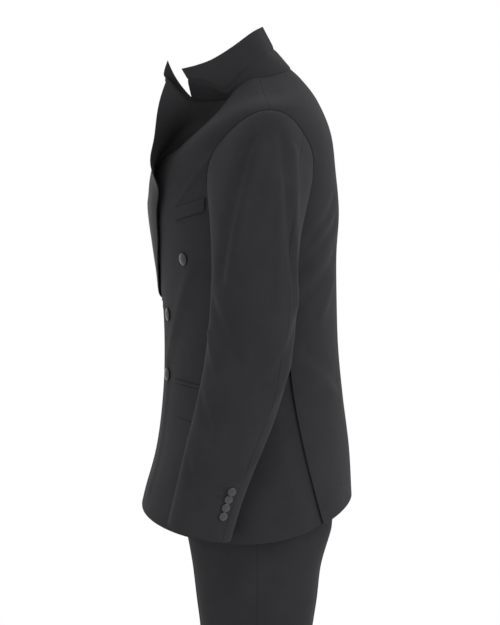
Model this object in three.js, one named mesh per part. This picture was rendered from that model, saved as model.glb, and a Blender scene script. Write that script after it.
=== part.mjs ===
// A double-breasted dinner suit, jacket and trousers, filled out as if worn, with its collar turned up.
// Millimetres. +X is the wearer's left, -Y the front, +Z up. The origin is the middle of the neck
// opening, level with the neck ends of the shoulder seams, where the wearer holds the jacket.
import * as THREE from 'three';

// Cloth and seams
const WALL = 2.0;              // shell cloth with the canvas or lining it carries
const SEAM = 0.3;              // air between two pieces that are sewn together
const LAYER = 2.9;             // how far one cloth layer lies outside the next
const SEAM_TURN = 0.1;         // degrees that a panel keeps from its seam line, half the seam's air
const WIDE_SEAM_TURN = 0.3;    // the same at the shoulder and the vent, where panels meet at an angle
const RAD = Math.PI / 180;
const mix = THREE.MathUtils.lerp;

// Jacket
const OVERLAP = 70;            // how far the left front passes the centre line
const UNDERLAP_DEPTH = 7.4;    // how deep the right front lies under the left one and both lapels
const UNDERLAP_TURNS = [-42, -24];    // turns between which the right front comes up again
const UNDERLAP_LEVELS = [6.2, 7.6];   // levels between which it does
const HEM_CORNER = { width: 0.2, rise: 0.48 };  // rounded corner: share of the front's width, levels
const BUTTON_LEVEL = 3.85;     // torso level where the lapels start to roll
const FRONT_SEAM_TURN = 72;    // degrees from centre front to the front and side panel seam
const BACK_SEAM_TURN = 115;    // degrees to the side and back seam above the vent
const VENT_HEM_TURN = 135;     // degrees to the vent edge at the hem
const VENT_TOP = 2.9;          // torso level where the side vent opens
const VENT_UNDERLAP = 10;      // degrees that the side panel runs on under the back panel
const VENT_DEPTH = 4;          // how deep it lies there
const VENT_STEP = { full: 0.5, open: 0.2, sink: 0.3, near: 3, far: 14 }; // levels and turns of its step
const ARMHOLE = { low: 5.85, high: 9.05, front: 25, back: 40 };
const ARMHOLE_MIDDLE = (ARMHOLE.low + ARMHOLE.high) / 2;
const ARMHOLE_RISE = (ARMHOLE.high - ARMHOLE.low) / 2;
const SHOULDER_LEVEL = ARMHOLE.high - 0.3;      // from here on panels meet at the shoulder seam
const ARMHOLE_GAP = 1.3;       // air between the armhole's edge and the sleeve
const NECK = 11;               // torso level of the neck seam
const GORGE_TURN = 58;         // degrees from centre front to the top of the roll line
const TORSO_MM_PER_DEGREE = 3; // for the width of a fold on the torso
const TORSO_MM_PER_LEVEL = 75;

// Buttons
const FRONT_BUTTON = { radius: 10, height: 5, columnX: 52, topX: 129, rows: [-282, -379, -476] };
const CUFF_BUTTON = { radius: 6.8, height: 3.6, pitch: 15, aboveHem: 44, count: 4, turn: 32 };
const BUTTON_SEAT = 0.6;       // from the cloth to the back of a button
const HIGH_BUTTON_SEAT = 1.5;  // the same for the button that stands over the lapel's first rows
const BUTTON_SIDES = 12;

// Pockets: turns from centre front, and torso levels
const FLAP = { turn0: 29, turn1: 80, top: 2.42, front: 1.86, back: 1.8, corner: 0.12, rounding: 0.12 };
const JET = { reach: 1, low: 0.006, high: 0.07 };  // turns past the flap, levels over its top edge
const WELT = { turn0: 42, turn1: 66, low0: 5.9, low1: 6.22, high0: 6.3, high1: 6.62 };

const table = (columns, rows) => rows.map(
  (row) => Object.fromEntries(columns.map((name, i) => [name, row[i]])),
);

// Torso sections from the hem up to the neck seam. Each is a rounded ring that is higher or lower at
// the front and back than at the side. A shape of 2 is an ellipse, above 2 is squarer.
const TORSO = table(
  ['zFront', 'zSide', 'zBack', 'halfWidth', 'yFront', 'ySide', 'yBack', 'frontShape', 'backShape'],
  [
    [-701, -712, -682, 222, -162, 8, 182, 2.0, 2.0],   // hem
    [-612, -612, -602, 213, -137, 8, 177, 1.9, 2.1],   // hip
    [-520, -520, -516, 197, -125, 12, 166, 1.8, 2.3],  // under the waist
    [-435, -435, -435, 184, -122, 14, 158, 1.75, 2.4], // waist
    [-355, -355, -355, 183, -125, 13, 155, 1.75, 2.5], // over the waist
    [-283, -283, -283, 190, -133, 10, 154, 1.8, 2.7],  // under the chest
    [-218, -216, -216, 198, -140, 6, 157, 1.9, 3.0],   // chest
    [-190, -160, -150, 201, -137, 8, 151, 1.95, 3.3],  // blades
    [-150, -105, -90, 208, -128, 20, 143, 2.0, 3.1],   // upper chest
    [-115, -52, -40, 225, -98, 42, 122, 2.0, 2.4],     // shoulder points
    [-100, -28, -8, 150, -75, 36, 98, 2.0, 2.2],       // middle of the shoulder
    [-106, -3, 11, 76, -55, 28, 78, 2.0, 2.0],          // neck seam
  ],
);

// Folds and fullness of the torso: a soft ridge, or a trough where the height is below zero,
// along a line from one turn and level to another.
const TORSO_FOLDS = table(
  ['turn0', 'level0', 'turn1', 'level1', 'width', 'height'],
  [
    [-14, 0.4, -14, 4.0, 42, 6],     // the free front edge stands proud over the overlap
    [-14, 4.0, 12, 8.4, 22, 5],      // soft roll of the left lapel
    [52, 4.9, 14, 2.8, 13, 3],       // ridge from the side down to the front edge
    [14, 2.6, 12, 0.4, 12, 2],
    [78, 8.6, 44, 6.5, 7, 1.6],      // edge of the chest canvas
    [148, 6.4, 122, 5.2, 11, -3],    // folds from the blade down behind the sleeve
    [150, 5.8, 119, 4.8, 12, -3.4],
    [153, 5.0, 117, 4.0, 12, -3],
    [152, 4.5, 138, 3.8, 12, 2.4],
    [126, 3.1, 156, 2.4, 12, -2.4],
    [128, 2.8, 160, 2.0, 12, 2],
    [-52, 4.7, -24, 3.4, 13, 3],     // right side, hidden from the left
    [-146, 6.3, -121, 5.1, 11, -3],
    [-152, 5.6, -118, 4.6, 12, -3.2],
    [-154, 4.9, -122, 4.1, 13, -2.8],
    [-127, 3.2, -155, 2.3, 12, -2.2],
  ],
);

// Sleeve sections from the biceps to the cuff, for the left arm.
const SLEEVE = table(
  ['x', 'y', 'z', 'halfThickness', 'halfDepth'],
  [
    [253, 22, -292, 58, 64],
    [251, 19, -365, 56, 65],
    [249, 9, -435, 53, 63],
    [249, -7, -500, 49, 60],
    [249, -27, -562, 45, 55.5],
    [248, -45, -622, 42, 51.5],
    [247, -62, -686, 40, 49.5],
  ],
);
const CAP_SHARE = 0.36;        // share of the sleeve's rows that make the cap
const CAP_START = [18, 44];    // how far the cap runs straight out of the armhole, armpit and top
const CAP_END = [20, 118];     // how far it runs straight into the biceps, armpit and top
const CAP_HANG = { out: 0.12, down: 0.93 };  // lean of the cap's first part at the armpit

// Folds of a sleeve: turn is from the outer side, 90 at the back and -90 at the front,
// and along runs from 0 at the armhole to 1 at the cuff.
const SLEEVE_FOLDS = table(
  ['turn0', 'along0', 'turn1', 'along1', 'width', 'height'],
  [
    [-28, 0.14, -66, 0.36, 10, -4],
    [-8, 0.13, -42, 0.34, 11, 2.4],
    [30, 0.10, 72, 0.36, 10, -3.4],
    [52, 0.14, 82, 0.42, 10, 2.6],
    [-72, 0.42, -22, 0.55, 12, -2.6],
    [-76, 0.50, -34, 0.62, 11, 2.2],
    [80, 0.50, 40, 0.60, 12, -2],
    [-70, 0.66, -30, 0.76, 11, -1.8],
    [70, 0.78, 36, 0.86, 10, 1.8],
  ],
);
const SLEEVE_FORE_TURN = -112;        // fore seam
const SLEEVE_HIND_TURNS = [60, 46];   // hind seam, at the armhole and at the cuff
const SLEEVE_SEAM_TURN = 0.25;        // degrees that a sleeve piece keeps from its seam line
const SLEEVE_MM_PER_DEGREE = 1;
const SLEEVE_MM_PER_LENGTH = 660;
const SLEEVE_FADE = [0.08, 0.95];     // the folds begin and end here

// Lapel along its roll line, from the button to the gorge: how far the leaf reaches from the front's
// edge, the radius of its roll, how far it is raised from the chest in degrees, and how much its
// middle bows out.
const LAPEL = table(
  ['level', 'turn', 'reach', 'roll', 'raised', 'bow', 'air'],
  [
    [3.85, -18, 10, 1.85, 4, 0.5, 1.6],
    [4.35, -13.2, 38, 1.9, 2, 1, 0.7],
    [4.87, -8.2, 61, 2.0, 2, 2, 0.5],
    [5.4, -3.6, 77, 2.0, 2, 3, 0.5],
    [6.0, 0.9, 87, 2.2, 2, 3, 0.5],
    [7.2, 5.4, 93, 2.8, 3, 3, 0.5],
    [8.15, 9.6, 96, 4.4, 5, 3, 0.5],
    [9.15, 13.1, 99, 10, 20, 3, 0.6],
    [10.4, 31, 112, 15, 74, 1, 2.0],
    [11, 58, 122, 10, 101, 0, 3.0],
  ],
);
const LAPEL_SHARES = [0, 0.012, 0.026, 0.042, 0.062, 0.09, 0.15, 0.26, 0.4, 0.54, 0.68, 0.84, 1];
const GORGE_DROP = 0.65;       // lapel rows that the gorge seam falls from the roll line to the notch
const NOTCH_SHARE = 0.5;       // share of the lapel's width that is sewn to the collar
const PEAK_RISE = 0.45;        // rows that the peak rises over the notch
const PEAK_CURVE = 1.6;        // how late it does
const LAID_ROWS = [5, 7];      // rows between which the right lapel comes out from under the left front
const FREE_ROLL = [3.5, 9];    // roll radii between which the leaf leaves the chest
const FREE_REACH = [1, 12];    // how far past its roll the leaf begins to lie on the chest
const FRAME_REACH = 1.2;       // rows over which the roll line's direction is evened out
const FRAME_STEPS = { turn: 6, level: 0.5 };  // the same for the chest's direction
const RIGHT_LAPEL_SHIFT = [0, -2, -10];  // how far the raised right lapel stands off the left one
const SHIFTED_ROWS = [6.5, 8.5];

// Turned-up collar, left half, from centre back to its front end.
// It rises from the neck seam, bends at the crease and ends in its top edge.
const COLLAR = table(
  ['seamTurn', 'gorgeShare', 'creaseX', 'creaseY', 'creaseZ', 'topX', 'topY', 'topZ'],
  [
    [180, 0, 0, 53, 40, 0, 34, 76],
    [135, 0, 50, 38, 31, 44, 17, 66],
    [90, 0, 70, 12, 12, 64, -14, 43],
    [GORGE_TURN, 0, 69, -22, -22, 71, -44, 25],
    [GORGE_TURN, 0.5, 72, -52, -10, 75, -68, 16],
    [GORGE_TURN, 1, 75, -83, -5, 77, -92, 10],
  ],
);
const COLLAR_WALL = 2.6;
const COLLAR_LIFT = 2.1;       // air between the neck or gorge seam line and the collar
const COLLAR_BEND = 0.48;      // share of the collar's height that is the stand

// Trouser sections, left leg: the inner line is the centre seam down to the crotch
// and the inseam below it, and the outer line is the side seam.
const TROUSERS = table(
  ['z', 'xIn', 'yInFront', 'yInBack', 'xMid', 'yFront', 'yBack', 'xOut', 'yOut'],
  [
    [-430, 0.2, -93, 128, 62, -93, 129, 158, 16],
    [-520, 0.2, -96, 142, 64, -98, 146, 169, 18],
    [-600, 0.2, -92, 154, 68, -99, 162.6, 179, 20],
    [-660, 0.2, -70, 136, 74, -96, 158, 182, 23],
    [-700, 0.2, -24, 82, 83, -89, 148, 182, 25],
    [-724, 1.2, 22, 26, 90, -86, 144, 181, 26],
    [-780, 9, 26, 26, 93, -75, 127, 175, 26],
    [-836, 14, 27, 27, 93, -68, 120, 170, 26],
    [-900, 19, 28, 28, 94, -61, 111, 165, 26],
    [-1050, 30, 24, 24, 94, -52, 95, 157, 22],
    [-1200, 36, 19, 19, 93, -48, 85, 149, 18],
    [-1350, 38, 15, 15, 91, -49, 79, 143, 15],
    [-1475, 38, 13, 13, 90, -50, 77, 141, 13],
  ],
);
const WAISTBAND_HEIGHT = 38;
const WAISTBAND_TAPER = 0.985;
const INSEAM_TURN = 0.6;       // degrees that a trouser piece keeps from its seam lines

// Colours
const WOOL = { color: 0x2a2a2d, roughness: 0.92, metalness: 0 };
const SATIN = { color: 0x17171a, roughness: 0.38, metalness: 0 };
const FELT = { color: 0x34343a, roughness: 0.98, metalness: 0 };

const suit = new THREE.Group();

// Smooth values between the rows of a table, at row number t.
function between(rows, t) {
  const last = rows.length - 1;
  const i = Math.min(Math.max(Math.floor(t), 0), last - 1);
  const f = t - i;
  const result = {};
  for (const key of Object.keys(rows[0])) {
    const b = rows[i][key];
    const c = rows[i + 1][key];
    const a = i > 0 ? rows[i - 1][key] : 2 * b - c;
    const d = i + 2 <= last ? rows[i + 2][key] : 2 * c - b;
    const slope0 = (c - a) / 2;
    const slope1 = (d - b) / 2;
    const f2 = f * f;
    const f3 = f2 * f;
    result[key] = (2 * f3 - 3 * f2 + 1) * b + (f3 - 2 * f2 + f) * slope0
      + (3 * f2 - 2 * f3) * c + (f3 - f2) * slope1;
  }
  return result;
}

function smooth(low, high, value) {
  return THREE.MathUtils.smoothstep(value, low, high);
}

// Height of all folds at one place of a surface.
function foldHeight(folds, turn, along, mmPerTurn, mmPerAlong, names) {
  let height = 0;
  for (const fold of folds) {
    const ax = (turn - fold.turn0) * mmPerTurn;
    const ay = (along - fold[names[0]]) * mmPerAlong;
    const bx = (fold.turn1 - fold.turn0) * mmPerTurn;
    const by = (fold[names[1]] - fold[names[0]]) * mmPerAlong;
    const share = THREE.MathUtils.clamp((ax * bx + ay * by) / (bx * bx + by * by), 0, 1);
    const away = Math.hypot(ax - share * bx, ay - share * by) / fold.width;
    height += fold.height * Math.exp(-away * away);
  }
  return height;
}

function ring(turn, level) {
  const row = between(TORSO, level);
  const s = Math.sin(turn * RAD);
  const c = Math.cos(turn * RAD);
  const shape = c > 0 ? row.frontShape : row.backShape;
  const size = (Math.abs(s) ** shape + Math.abs(c) ** shape) ** (1 / shape);
  const yFar = c > 0 ? row.yFront : row.yBack;
  const zFar = c > 0 ? row.zFront : row.zBack;
  return new THREE.Vector3(
    row.halfWidth * s / size,
    row.ySide + (yFar - row.ySide) * Math.abs(c) / size,
    row.zSide + (zFar - row.zSide) * c * c,
  );
}

// Unit normal of a surface of two values, by small steps.
function normalOf(surface, a, b, stepA, stepB) {
  const alongA = surface(a + stepA, b).sub(surface(a - stepA, b));
  const alongB = surface(a, b + stepB).sub(surface(a, b - stepB));
  return alongA.cross(alongB).normalize();
}

// The outside of the jacket's body at a turn from centre front and a level, moved out by a lift.
function torso(turn, level, lift = 0) {
  const height = foldHeight(
    TORSO_FOLDS, turn, level, TORSO_MM_PER_DEGREE, TORSO_MM_PER_LEVEL, ['level0', 'level1'],
  );
  const out = normalOf(ring, turn, level, 0.5, 0.01);
  return ring(turn, level).addScaledVector(out, height + lift);
}

// Turn and level of one front's outside that lie nearest to a point.
function nearestOnFront(side, point, turn, level) {
  for (let step = 0; step < 12; step += 1) {
    const here = frontSurface(side, turn, level);
    const perTurn = frontSurface(side, turn + 0.2, level).sub(here).multiplyScalar(5);
    const perLevel = frontSurface(side, turn, level + 0.01).sub(here).multiplyScalar(100);
    const miss = point.clone().sub(here);
    const aa = perTurn.dot(perTurn);
    const ab = perTurn.dot(perLevel);
    const bb = perLevel.dot(perLevel);
    const det = aa * bb - ab * ab;
    const ra = miss.dot(perTurn);
    const rb = miss.dot(perLevel);
    turn += (ra * bb - rb * ab) / det;
    level += (rb * aa - ra * ab) / det;
  }
  return { turn, level };
}

// Half the armhole's width, in degrees of turn, at a level: side is 'front' or 'back'.
function armholeHalf(level, side) {
  const share = (level - ARMHOLE_MIDDLE) / ARMHOLE_RISE;
  return Math.abs(share) < 1 ? ARMHOLE[side] * Math.sqrt(1 - share * share) : 0;
}

// A piece of cloth: a wall whose outer face is a surface of u and v, both from 0 to 1.
function cloth(name, surface, columns, rows, look, options = {}) {
  const { wall = WALL, mirrored = false, rowShare = (v) => v, columnShare = (u) => u } = options;
  const positions = [];
  const indices = [];
  const step = 0.004;
  const inside = (value) => THREE.MathUtils.clamp(value, 0, 1);
  for (let j = 0; j <= rows; j += 1) {
    for (let i = 0; i <= columns; i += 1) {
      const u = columnShare(i / columns);
      const v = rowShare(j / rows);
      const point = surface(u, v);
      const alongU = surface(inside(u + step), v).sub(surface(inside(u - step), v));
      const alongV = surface(u, inside(v + step)).sub(surface(u, inside(v - step)));
      const out = alongU.cross(alongV).normalize();
      if (mirrored) {
        out.negate();
      }
      const back = point.clone().addScaledVector(out, -wall);
      positions.push(point.x, point.y, point.z, back.x, back.y, back.z);
    }
  }
  const outer = (i, j) => 2 * (j * (columns + 1) + i);
  const triangle = (a, b, c) => (mirrored ? indices.push(a, c, b) : indices.push(a, b, c));
  const quad = (a, b, c, d) => {
    triangle(a, b, c);
    triangle(a, c, d);
  };
  for (let j = 0; j < rows; j += 1) {
    for (let i = 0; i < columns; i += 1) {
      const corners = [outer(i, j), outer(i + 1, j), outer(i + 1, j + 1), outer(i, j + 1)];
      quad(...corners);
      quad(corners[3] + 1, corners[2] + 1, corners[1] + 1, corners[0] + 1);
    }
  }
  const edge = (a, b) => quad(b, a, a + 1, b + 1);
  for (let i = 0; i < columns; i += 1) {
    edge(outer(i, 0), outer(i + 1, 0));
    edge(outer(i + 1, rows), outer(i, rows));
  }
  for (let j = 0; j < rows; j += 1) {
    edge(outer(columns, j), outer(columns, j + 1));
    edge(outer(0, j + 1), outer(0, j));
  }
  const geometry = new THREE.BufferGeometry();
  geometry.setAttribute('position', new THREE.Float32BufferAttribute(positions, 3));
  geometry.setIndex(indices);
  geometry.computeVertexNormals();
  const mesh = new THREE.Mesh(geometry, new THREE.MeshStandardMaterial(look));
  mesh.name = name;
  suit.add(mesh);
}

// Turn of the back seam and, below its top, of the vent's edge.
function backSeamTurn(level) {
  const open = THREE.MathUtils.clamp((VENT_TOP - level) / VENT_TOP, 0, 1);
  return mix(BACK_SEAM_TURN, VENT_HEM_TURN, open ** 1.5);
}

// Turn of the left front's free edge and, above the button, of its roll line.
function frontEdgeTurn(level) {
  if (level >= BUTTON_LEVEL) {
    let low = 0;
    let high = LAPEL.length - 1;
    for (let step = 0; step < 30; step += 1) {
      const middle = (low + high) / 2;
      if (between(LAPEL, middle).level < level) {
        low = middle;
      } else {
        high = middle;
      }
    }
    return between(LAPEL, low).turn;
  }
  const row = between(TORSO, level);
  return -Math.asin(OVERLAP / row.halfWidth) / RAD + 2 * (1 - level / BUTTON_LEVEL);
}

// The front hem's corner is rounded off: how far the edge has risen at a share of the width.
function hemRise(u) {
  const near = Math.max(0, 1 - u / HEM_CORNER.width);
  return HEM_CORNER.rise * (1 - Math.sqrt(1 - near * near));
}

// Air that a panel keeps from its seam line, in degrees.
function seamAir(level) {
  return level > SHOULDER_LEVEL ? WIDE_SEAM_TURN : SEAM_TURN;
}

// The right front lies under the left lapel, the left front and its own lapel.
function underlapLift(turn, level) {
  const under = smooth(...UNDERLAP_TURNS, turn) * (1 - smooth(...UNDERLAP_LEVELS, level));
  return -UNDERLAP_DEPTH * under;
}

// Outside of one front, with the right front sunk where the left one covers it.
function frontSurface(side, turn, level, lift = 0) {
  return torso(side * turn, level, lift + (side < 0 ? underlapLift(-turn, level) : 0));
}

function frontPanel(side) {
  return (u, v) => {
    const low = hemRise(u);
    const level = mix(low, NECK, v);
    const inner = frontEdgeTurn(level) + SEAM_TURN;
    const outer = level < ARMHOLE.low
      ? FRONT_SEAM_TURN
      : Math.min(FRONT_SEAM_TURN, 90 - armholeHalf(level, 'front')) + shoulderTurn(level, 'front');
    return frontSurface(side, mix(inner, outer - seamAir(level), u), level);
  };
}

// Above the armhole's widest level the front reaches round to the shoulder seam.
function shoulderTurn(level, side) {
  if (level < ARMHOLE_MIDDLE) {
    return 0;
  }
  const full = 90 - armholeHalf(level, side);
  return full - Math.min(FRONT_SEAM_TURN, full);
}

function sidePanel(side) {
  return (u, v) => {
    const turn0 = FRONT_SEAM_TURN + SEAM_TURN;
    const flatTurn = mix(turn0, BACK_SEAM_TURN, u);
    const reach = flatTurn < 90 ? ARMHOLE.front : ARMHOLE.back;
    const share = (90 - flatTurn) / reach;
    const level = v * (ARMHOLE_MIDDLE - ARMHOLE_RISE * Math.sqrt(1 - share * share));
    const open = 1 - smooth(VENT_TOP - VENT_STEP.full, VENT_TOP - VENT_STEP.open, level);
    const sunk = 1 - smooth(VENT_TOP - VENT_STEP.open, VENT_TOP + VENT_STEP.sink, level);
    const edge = backSeamTurn(level);
    const turn = mix(turn0, edge - WIDE_SEAM_TURN + VENT_UNDERLAP * open, u);
    const under = -VENT_DEPTH * sunk * smooth(edge - VENT_STEP.far, edge - VENT_STEP.near, turn);
    return torso(side * turn, level, under);
  };
}

function backPanel(side) {
  return (u, v) => {
    const level = v * NECK;
    const seam = backSeamTurn(level);
    const outer = level < ARMHOLE.low ? seam : backOuterTurn(level, seam);
    return torso(side * mix(outer + seamAir(level), 180 - SEAM_TURN, u), level);
  };
}

function backOuterTurn(level, seam) {
  const full = 90 + armholeHalf(level, 'back');
  return level < ARMHOLE_MIDDLE ? Math.max(seam, full) : full;
}

// Rows lie closer together where the armhole turns quickly.
function torsoRows(v) {
  return v - 0.035 * Math.sin(2 * Math.PI * v) * Math.sin(Math.PI * v);
}

// Armhole line round the arm, for the left side: 0 at the shoulder point, 90 back, 180 armpit.
function armhole(turn, lift) {
  const s = Math.sin(turn * RAD);
  const reach = s > 0 ? ARMHOLE.back : ARMHOLE.front;
  return torso(90 + reach * s, ARMHOLE_MIDDLE + ARMHOLE_RISE * Math.cos(turn * RAD), lift);
}

function sleeveTube(turn, at) {
  const row = between(SLEEVE, at);
  const ahead = between(SLEEVE, at + 0.1);
  const axis = new THREE.Vector3(ahead.x - row.x, ahead.y - row.y, ahead.z - row.z).normalize();
  const backward = new THREE.Vector3(1, 0, 0).cross(axis).negate().normalize();
  if (backward.y < 0) {
    backward.negate();
  }
  return new THREE.Vector3(row.x, row.y, row.z)
    .add(new THREE.Vector3(row.halfThickness * Math.cos(turn * RAD), 0, 0))
    .addScaledVector(backward, row.halfDepth * Math.sin(turn * RAD));
}

function plainSleeve(turn, along) {
  if (along >= CAP_SHARE) {
    const at = (along - CAP_SHARE) / (1 - CAP_SHARE) * (SLEEVE.length - 1);
    return sleeveTube(turn, at);
  }
  const f = along / CAP_SHARE;
  const top = (1 + Math.cos(turn * RAD)) / 2;
  const start = armhole(turn, ARMHOLE_GAP);
  const end = sleeveTube(turn, 0);
  const sideways = mix(CAP_HANG.out, 1, top);
  const outward = new THREE.Vector3(sideways, 0, CAP_HANG.down * top - 1).normalize();
  const first = start.clone().addScaledVector(outward, mix(...CAP_START, top));
  const second = end.clone().add(new THREE.Vector3(0, 0, mix(...CAP_END, top)));
  return new THREE.CubicBezierCurve3(start, first, second, end).getPoint(f);
}

// Outside of a sleeve with its folds, moved out by a lift.
function sleeveSurface(side, turn, along, lift = 0) {
  const height = foldHeight(
    SLEEVE_FOLDS, turn > 180 ? turn - 360 : turn, along,
    SLEEVE_MM_PER_DEGREE, SLEEVE_MM_PER_LENGTH, ['along0', 'along1'],
  );
  const out = normalOf(plainSleeve, turn, along, 1, -0.01);
  const fade = smooth(0, SLEEVE_FADE[0], along) * (1 - smooth(SLEEVE_FADE[1], 1, along));
  const point = plainSleeve(turn, along).addScaledVector(out, height * fade + lift);
  point.x *= side;
  return point;
}

function sleevePanel(side, turn0, turn1) {
  return (u, v) => {
    const along = 1 - v;
    const turn = mix(turn0(along) + SLEEVE_SEAM_TURN, turn1(along) - SLEEVE_SEAM_TURN, u);
    return sleeveSurface(side, turn, along);
  };
}

// A place on one front's edge, with the directions off the chest and along it, away from the edge.
function lapelFrame(side, at) {
  const last = LAPEL.length - 1;
  const rowAt = (value) => between(LAPEL, THREE.MathUtils.clamp(value, 0, last));
  const { level, turn, air } = rowAt(at);
  const before = rowAt(at - FRAME_REACH);
  const after = rowAt(at + FRAME_REACH);
  const off = normalOf(ring, side * turn, level, FRAME_STEPS.turn, FRAME_STEPS.level);
  const up = ring(side * after.turn, after.level).sub(ring(side * before.turn, before.level));
  const out = up.cross(off).multiplyScalar(side).normalize();
  return { start: frontSurface(side, turn, level).addScaledVector(out, -air), off, out };
}

// Satin face of a lapel: it rolls back from the front's edge, and then lies on the chest
// or stands up.
function lapel(side, shift) {
  return (u, v) => {
    const last = LAPEL.length - 1;
    const notch = Math.min(u / NOTCH_SHARE, 1);
    const peak = Math.max(0, (u - NOTCH_SHARE) / (1 - NOTCH_SHARE));
    const at = v * (last - GORGE_DROP * notch + PEAK_RISE * peak ** PEAK_CURVE);
    const row = between(LAPEL, at);
    const { start, off, out } = lapelFrame(side, at);
    const angle = row.raised * RAD;
    const covered = side < 0 ? 1 - smooth(...LAID_ROWS, at) : 0;
    const away = u * row.reach;
    const turned = Math.min(away / row.roll, Math.PI - angle);
    const beyond = away - turned * row.roll;
    const face = row.roll + WALL / 2;
    const rolledOut = beyond * Math.cos(angle) - face * Math.sin(turned);
    const rise = (1 - covered) * beyond * Math.sin(angle);
    const rolledOff = rise + row.roll - WALL / 2 - face * Math.cos(turned);
    const bulge = (1 - covered) * row.bow * Math.sin(Math.PI * u);
    const free = start.clone()
      .addScaledVector(out, rolledOut - bulge * Math.sin(angle))
      .addScaledVector(off, rolledOff + bulge * Math.cos(angle));
    const flat = start.clone().addScaledVector(out, rolledOut);
    const place = nearestOnFront(side, flat, row.turn, row.level);
    const laid = frontSurface(side, place.turn, place.level, rolledOff + bulge);
    const loose = Math.max(smooth(...FREE_ROLL, row.roll), 1 - smooth(...FREE_REACH, beyond));
    const point = laid.lerp(free, loose);
    return point.addScaledVector(shift, u * smooth(...SHIFTED_ROWS, at));
  };
}

// Gorge seam, on the outer face of the raised lapel's upper edge, from the roll line to the notch.
function gorge(share) {
  const { out } = lapelFrame(1, LAPEL.length - 1 - GORGE_DROP * share);
  return lapel(1, new THREE.Vector3())(share * NOTCH_SHARE, 1).addScaledVector(out, WALL + 1.6);
}

function collarSection(at) {
  const row = between(COLLAR, at);
  const seam = row.gorgeShare > 0.001
    ? gorge(row.gorgeShare)
    : torso(row.seamTurn, NECK);
  seam.z += COLLAR_LIFT;
  return {
    seam,
    crease: new THREE.Vector3(row.creaseX, row.creaseY, row.creaseZ),
    top: new THREE.Vector3(row.topX, row.topY, row.topZ),
  };
}

// Collar across its height, u from the front end on one side round to the other.
function collar(u, v) {
  const last = COLLAR.length - 1;
  const at = Math.abs(2 * u - 1) * last;
  const { seam, crease, top } = collarSection(at);
  const point = v < COLLAR_BEND
    ? seam.lerp(crease, v / COLLAR_BEND)
    : crease.lerp(top, (v - COLLAR_BEND) / (1 - COLLAR_BEND));
  if (u > 0.5) {
    point.x = Math.abs(point.x);
  } else {
    point.x = -Math.abs(point.x);
  }
  return point;
}

// A pocket piece on a front panel: it covers a range of turns and levels, one layer out.
function patch(side, low, high) {
  return (u, v) => {
    const turn = mix(low(0).turn, low(1).turn, u);
    const level = mix(low(u).level, high(u).level, v);
    return torso(side * turn, level, LAYER);
  };
}

// Button with a flat back and a domed satin face.
function button(name, place, outward, size) {
  const { radius, height } = size;
  const profile = [
    [0, 0], [radius * 0.86, 0], [radius, height * 0.35],
    [radius * 0.9, height * 0.72], [radius * 0.5, height * 0.96], [0, height],
  ].map(([x, y]) => new THREE.Vector2(x, y));
  const mesh = new THREE.Mesh(
    new THREE.LatheGeometry(profile, BUTTON_SIDES),
    new THREE.MeshStandardMaterial(SATIN),
  );
  mesh.name = name;
  mesh.position.copy(place);
  mesh.quaternion.setFromUnitVectors(new THREE.Vector3(0, 1, 0), outward);
  suit.add(mesh);
}

// Half of one trouser leg, front or back, from the inner line to the side seam.
function trouserPanel(side, face) {
  return (u, v) => {
    const at = (1 - v) * (TROUSERS.length - 1);
    const row = between(TROUSERS, at);
    const yIn = face === 'front' ? row.yInFront : row.yInBack;
    const yFar = face === 'front' ? row.yFront : row.yBack;
    const angle = mix(INSEAM_TURN, 180 - INSEAM_TURN, u) * RAD;
    const c = Math.cos(angle);
    const s = Math.sin(angle);
    const x = c > 0 ? row.xMid - (row.xMid - row.xIn) * c : row.xMid - (row.xOut - row.xMid) * c;
    const y = c > 0 ? yIn + (yFar - yIn) * s : row.yOut + (yFar - row.yOut) * s;
    return new THREE.Vector3(side * x, y, row.z);
  };
}

function waistband(side) {
  return (u, v) => {
    const face = u < 0.5 ? 'front' : 'back';
    const share = u < 0.5 ? u * 2 : 2 - u * 2;
    const point = trouserPanel(side, face)(share, 1);
    point.x = side * Math.max(TROUSERS[0].xIn, Math.abs(point.x) * mix(1, WAISTBAND_TAPER, v));
    point.z += SEAM + v * WAISTBAND_HEIGHT;
    return point;
  };
}

const sides = [['left', 1], ['right', -1]];

for (const [word, side] of sides) {
  const mirrored = side < 0;
  cloth(`front_${word}`, frontPanel(side), 12, 28, WOOL, {
    mirrored, rowShare: torsoRows, columnShare: (u) => u ** 1.35,
  });
  cloth(`side_panel_${word}`, sidePanel(side), 7, 20, WOOL, { mirrored });
  cloth(`back_${word}`, backPanel(side), 9, 26, WOOL, { mirrored, rowShare: torsoRows });
  const shift = new THREE.Vector3(...(side > 0 ? [0, 0, 0] : RIGHT_LAPEL_SHIFT));
  cloth(`lapel_${word}`, lapel(side, shift), LAPEL_SHARES.length - 1, 22, SATIN, {
    mirrored, columnShare: (u) => LAPEL_SHARES[Math.round(u * (LAPEL_SHARES.length - 1))],
  });
  const hind = (along) => mix(...SLEEVE_HIND_TURNS, along);
  const fore = () => SLEEVE_FORE_TURN;
  const foreAgain = () => SLEEVE_FORE_TURN + 360;
  cloth(`sleeve_upper_${word}`, sleevePanel(side, fore, hind), 11, 19, WOOL, { mirrored });
  cloth(`sleeve_under_${word}`, sleevePanel(side, hind, foreAgain), 9, 19, WOOL, { mirrored });
  cloth(`trouser_front_${word}`, trouserPanel(side, 'front'), 8, 12, WOOL, { mirrored });
  cloth(`trouser_back_${word}`, trouserPanel(side, 'back'), 8, 12, WOOL, { mirrored: !mirrored });
  cloth(`waistband_${word}`, waistband(side), 14, 1, WOOL, { mirrored });
}
cloth('collar', collar, 28, 4, FELT, { wall: COLLAR_WALL });

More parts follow.
